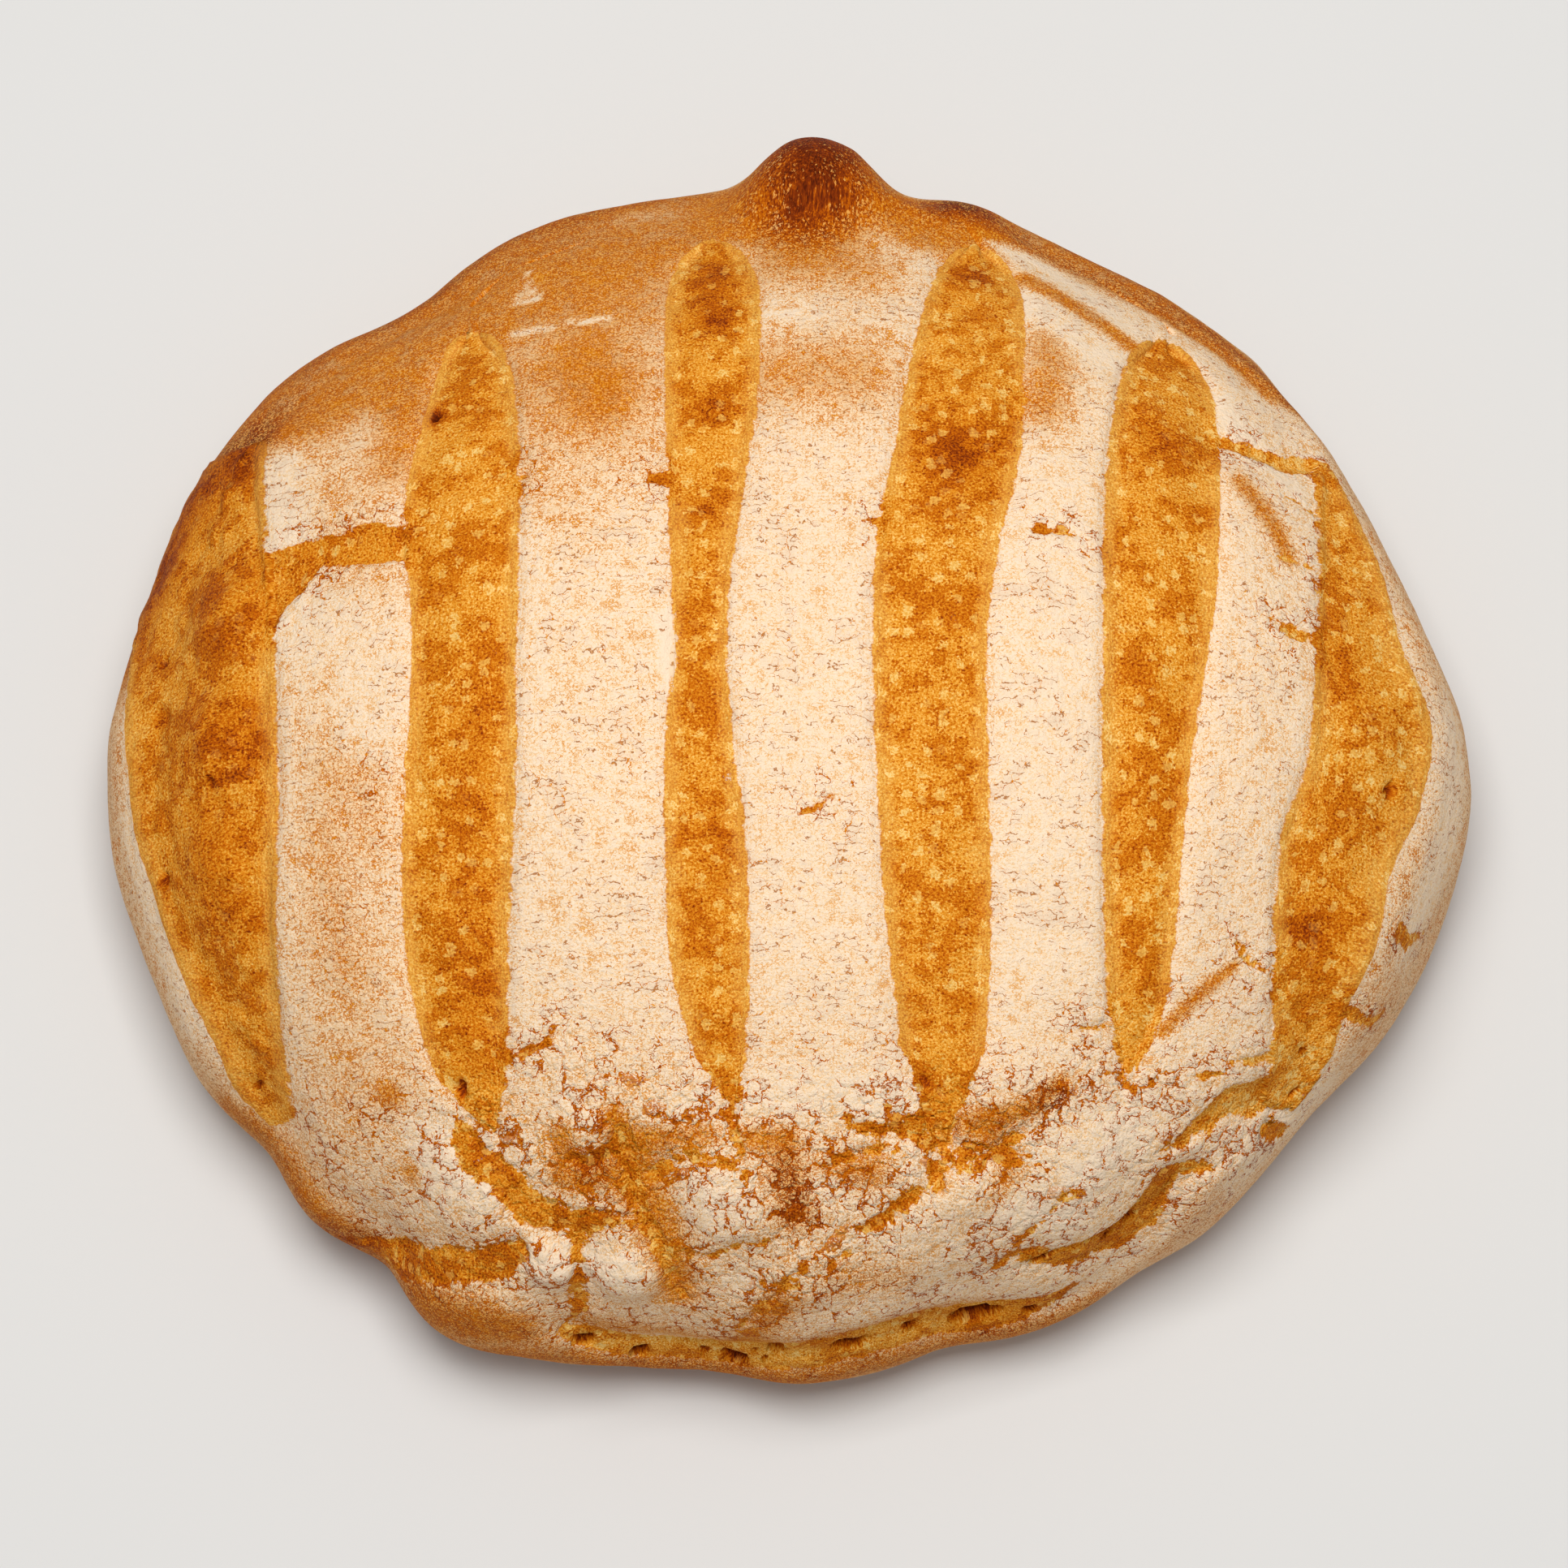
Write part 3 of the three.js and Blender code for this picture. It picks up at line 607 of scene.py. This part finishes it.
# %% Steps, blends and colours
def soft(value, low, high, start=0.0, end=1.0):
    inputs = {"Value": value, "From Min": low, "From Max": high, "To Min": start, "To Max": end}
    return Term(node("ShaderNodeMapRange", {"interpolation_type": "SMOOTHSTEP"}, inputs).outputs["Result"])


def blend(share, a, b):
    return Term(node("ShaderNodeMix", {"data_type": "RGBA"}, {0: share, 6: a, 7: b}).outputs[2])


def vector(operation, a, b):
    return Term(node("ShaderNodeVectorMath", {"operation": operation}, {0: a, 1: b}).outputs[0])


def colour(red, green, blue):
    def linear(value):
        value /= 255
        return value / 12.92 if value <= 0.04045 else ((value + 0.055) / 1.055) ** 2.4
    return (linear(red), linear(green), linear(blue), 1.0)


# %% Noises and cells
def grain(at, scale, detail, roughness=0.6):
    inputs = {"Vector": at, "Scale": scale, "Detail": detail, "Roughness": roughness}
    return node("ShaderNodeTexNoise", {"noise_dimensions": "2D"}, inputs)


def swing(texture):
    return Term(texture.outputs["Fac"]) - 0.5


def cells(at, scale, feature):
    settings = {"voronoi_dimensions": "2D", "feature": feature}
    return node("ShaderNodeTexVoronoi", settings, {"Vector": at, "Scale": scale})


def cell_edge(at, scale):
    return Term(cells(at, scale, "DISTANCE_TO_EDGE").outputs["Distance"])


def cell_luck(voronoi):
    return Term(node("ShaderNodeSeparateColor", None, {"Color": Term(voronoi.outputs["Color"])}).outputs[0])


# %% [markdown]
# ## The crust's material
# One material carries all finishes, because they grade into each other: flour over baked skin, and bare crumb
# where it tore. A painted picture would blur up close, so the finishes are built from noises, which run in
# the loaf's own millimetres: specks, grit, mottles and patches, from fine to broad. Dry flour breaks into
# flakes as the skin below it stretches, so the cracks are the borders of cells, bent by a noise; each cell
# also has its own luck, which lets whole flakes fall away at a torn edge. The finest cracks wander more
# freely: they lie where a noise passes its middle value. Names that start with n_ are the mesh's own numbers.

# %% Places and noises
def attribute(name, kind="Fac"):
    return Term(node("ShaderNodeAttribute", {"attribute_name": name}).outputs[kind])


n_bare, n_flour, n_brown_and_pore_shade, n_crackle = (attribute(name) for name in ("bare", "flour", "brown_and_pore_shade", "crackle"))
in_mm = attribute("flat", "Vector")
sway = vector("MULTIPLY", in_mm, (0.8, 1.0, 0.0))
SPECKS, GRIT, BENDS, MOTTLES, PATCHES = 2.2, 1.3, 0.5, 0.36, 0.09
specks = swing(grain(in_mm, SPECKS, 2.0, 0.65))
grit = swing(grain(sway, GRIT, 3.0, 0.7))
mottles = swing(grain(in_mm, MOTTLES, 2.0))
patches = swing(grain(in_mm, PATCHES, 2.0))
wander = vector("SUBTRACT", Term(grain(in_mm, BENDS, 2.0).outputs["Color"]), (0.5, 0.5, 0.5))
bent = vector("ADD", in_mm, vector("MULTIPLY", wander, (2.5, 2.5, 0.0)))
print("noises", len(tree.nodes), "nodes")

# %% Cracks in the flour
FLAKES, CHIPS = 0.3, 0.75
flake_edge = cell_edge(bent, FLAKES)
flake_luck = cell_luck(cells(bent, FLAKES, "F1"))
flake_gap = maths("MAXIMUM", n_crackle * (0.07 + 0.6 * mottles + 0.6 * patches), 0.0005)
chip_gap = maths("MAXIMUM", n_crackle * (0.03 + 0.6 * mottles + 0.4 * patches), 0.0005)
net = soft(flake_edge, flake_gap, 0.35 * flake_gap)
net = maths("MAXIMUM", net, soft(cell_edge(bent, CHIPS), chip_gap, 0.35 * chip_gap))
fallen = soft(flake_luck + 0.2 * n_crackle, 1.1, 1.15)
flat_x, flat_y = (Term(axis) for axis in node("ShaderNodeSeparateXYZ", None, {0: in_mm}).outputs[:2])
ROWS, ROW_SWAY, ROW_GAP = 0.25, 6.0, 0.9
row = maths("PINGPONG", flat_y + ROW_SWAY * swing(grain(sway, ROWS, 3.0, 0.65)), ROW_GAP)
dashes = soft(row + 0.5 * specks, 0.15, 0.06) * soft(mottles + patches, 0.04, 0.1)
print("cracks", len(tree.nodes), "nodes")

# %% Flour over the skin, ragged at the torn edges
frayed = 1.6 * flake_luck - 0.8 + patches + 3.0 * mottles + 2.0 * grit
edge = n_bare + n_crackle * frayed + 0.8 * mottles + 0.5 * specks
bared = soft(edge, -0.15, 0.15)
veins = 0.09 - maths("ABSOLUTE", grit)
cover = n_flour + 0.9 * specks + 1.0 * mottles + 0.6 * patches
on_crumb = soft(cover, 1.5, 1.7)
cover = cover + 0.1 - 5.5 * veins
on_skin = soft(cover - net - 0.8 * fallen, 0.32, 0.62)
on_skin = maths("MAXIMUM", on_skin, soft(n_flour - net, 0.8, 1.05, 0.0, 0.5))
floured = on_skin + bared * (0.8 * on_crumb - on_skin)
print("flour", len(tree.nodes), "nodes")

# %% Colours of the flour
THIN_FLOUR, EVEN_FLOUR, THICK_FLOUR = colour(228, 160, 76), colour(244, 202, 146), colour(246, 221, 191)
DULL_FLOUR, HAIR_CRACK = colour(212, 178, 140), colour(166, 94, 18)
flour_tint = blend(soft(n_flour + 0.5 * specks, 0.35, 0.9), THIN_FLOUR, EVEN_FLOUR)
flour_tint = blend(soft(cover, 0.55, 0.95) * soft(n_flour, 0.5, 0.95), flour_tint, THICK_FLOUR)
flour_tint = blend(soft(patches + 0.6 * mottles, 0.02, 0.3, 0.0, 0.25), flour_tint, DULL_FLOUR)
flour_tint = blend(0.85 * dashes, flour_tint, HAIR_CRACK)

# %% How far crumb and skin are baked
BLOBS = 0.36
blob = cells(bent, BLOBS, "F1")
blobs = soft(Term(blob.outputs["Distance"]) + 0.4 * specks, 0.38, 0.22) * soft(cell_luck(blob), 0.5, 0.8)
SMOOTH_UP_TO, BLISTERED_FROM = -98.0, -86.0
blobs = blobs * soft(flat_x, SMOOTH_UP_TO, BLISTERED_FROM, 0.25)
fibre_at = node("ShaderNodeCombineXYZ", None, {"X": 2.2 * n_bare, "Y": 3.0 * mottles})
fibre_at = vector("ADD", Term(fibre_at.outputs[0]), vector("MULTIPLY", in_mm, (0, 0.2, 0)))
fibres = swing(grain(fibre_at, 1.0, 1.0))
by_edge = soft(n_bare + 4.0 * patches + 3.0 * mottles, 4.0, 0.8) * soft(n_crackle, 0.35, 0.15)
burnt = soft(0.7 * mottles + patches + 0.3 * specks, 0.0, 0.06) * (1.0 - by_edge)
in_crumb = 0.5 + 0.17 * burnt - 0.25 * blobs - 2.0 * veins + 0.3 * patches + 0.3 * by_edge * fibres
in_skin = 0.65 + 2.0 * veins + 0.5 * mottles + 0.4 * patches - 0.3 * net * soft(n_crackle, 0.4, 0.15)
# The browning number also carries the painted shade of the pores
level = in_skin + bared * (in_crumb - in_skin) + 1.1 * specks + (n_brown_and_pore_shade - 0.3)
print("baking", len(tree.nodes), "nodes")

# %% Colours of crumb and skin, from golden to dark brown
DARKEST = 1.5
STOPS = [(0.0, (253, 214, 140)), (0.2, (244, 182, 82)), (0.42, (226, 146, 36)), (0.65, (204, 110, 10)),
         (0.85, (180, 84, 6)), (1.1, (132, 50, 8)), (DARKEST, (82, 26, 6))]
baked = node("ShaderNodeValToRGB", None, {"Fac": level * (1 / DARKEST)})
ramp = baked.color_ramp
for at, tint in STOPS[1:-1]:
    ramp.elements.new(at / DARKEST)
for element, (at, tint) in zip(ramp.elements, STOPS):
    element.position = at / DARKEST
    element.color = colour(*tint)
pale = maths("MAXIMUM", 0.4 * blobs * (1.0 - by_edge), 0.25 * by_edge) * bared * soft(n_brown_and_pore_shade, 0.9, 0.5)
PALE_CRUMB = colour(228, 180, 92)
crumb_tint = blend(pale, Term(baked.outputs["Color"]), PALE_CRUMB)
surface = blend(floured, crumb_tint, flour_tint)

# %% Grain and gloss
puffed = n_crackle * soft(n_crackle, 0.15, 0.45) * soft(flake_edge, 0.0, 0.3)
sunk = soft(n_bare + 0.8 * mottles, -0.7, 0.7)
height = 0.16 * specks + 0.22 * grit + 0.4 * mottles - 0.3 * sunk + 0.3 * puffed
bump = node("ShaderNodeBump", None, {"Strength": 1.0, "Distance": MM, "Height": height})
roughness = soft(floured, 0, 1, 0.55, 0.95)
finish = {"Base Color": surface, "Roughness": roughness, "Normal": Term(bump.outputs["Normal"])}
shader = node("ShaderNodeBsdfPrincipled", None, finish)
shader.inputs["Specular IOR Level"].default_value = 0.02
node("ShaderNodeOutputMaterial", None, {"Surface": Term(shader.outputs[0])})
crust.materials.clear()
crust.materials.append(material)
print("material nodes", len(tree.nodes))

# %% [markdown]
# ## The loaf takes the solid's place
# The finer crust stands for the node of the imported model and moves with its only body.

# %% Put the loaf in the frame
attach(loaf, "root")
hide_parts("loaf")
print("stands for the loaf:", loaf.name)

# %% [markdown]
# ## Floor, light and camera
# A pale floor and a large soft light overhead, a little behind the middle, as in a food studio. Small lamps
# would cast a hard shadow into every crack. The camera looks down steeply, so the scores show in full.

# %% Floor
FLOOR_SIDE = 6.0
floor_mesh = bpy.data.meshes.new("floor")
bm = bmesh.new()
bmesh.ops.create_grid(bm, x_segments=1, y_segments=1, size=FLOOR_SIDE / 2)
bm.to_mesh(floor_mesh)
bm.free()
floor = bpy.data.objects.new("floor", floor_mesh)
bpy.context.collection.objects.link(floor)
floor_paint = bpy.data.materials.new("pale_floor")
floor_paint.use_nodes = True
floor_shader = floor_paint.node_tree.nodes["Principled BSDF"]
floor_shader.inputs["Base Color"].default_value = (0.72, 0.71, 0.69, 1.0)
floor_shader.inputs["Roughness"].default_value = 0.9
floor_mesh.materials.append(floor_paint)
print("floor", FLOOR_SIDE, "m wide")

# %% Light
def softbox(name, spot, side, power):
    lamp = bpy.data.lights.new(name, "AREA")
    lamp.shape = "SQUARE"
    lamp.size = side
    lamp.energy = power
    holder = bpy.data.objects.new(name, lamp)
    holder.location = spot
    holder.rotation_euler = (-Vector(spot)).to_track_quat("-Z", "Y").to_euler()
    bpy.context.collection.objects.link(holder)


softbox("key", (-0.02, 0.08, 1.3), 0.6, 14)
world = bpy.data.worlds.new("studio")
world.use_nodes = True
world.node_tree.nodes["Background"].inputs["Color"].default_value = (1.0, 1.0, 1.0, 1.0)
world.node_tree.nodes["Background"].inputs["Strength"].default_value = 0.32
bpy.context.scene.world = world
bpy.context.scene.view_settings.view_transform = "Standard"

# %% Camera
VIEW_ELEVATION = math.radians(75)
VIEW_DISTANCE = 1.1
VIEW_TARGET = Vector((0, 0, 30 * MM))
camera_data = bpy.data.cameras.new("photo_view")
camera_data.sensor_width = 36
camera_data.lens = 137.3
camera_data.shift_x = -0.0021
camera_data.shift_y = -0.0207
camera = bpy.data.objects.new("photo_view", camera_data)
back = Vector((0, -math.cos(VIEW_ELEVATION), math.sin(VIEW_ELEVATION)))
camera.location = VIEW_TARGET + VIEW_DISTANCE * back
camera.rotation_euler = (-back).to_track_quat("-Z", "Y").to_euler()
bpy.context.collection.objects.link(camera)
bpy.context.scene.camera = camera
print("camera at", [round(part, 3) for part in camera.location])
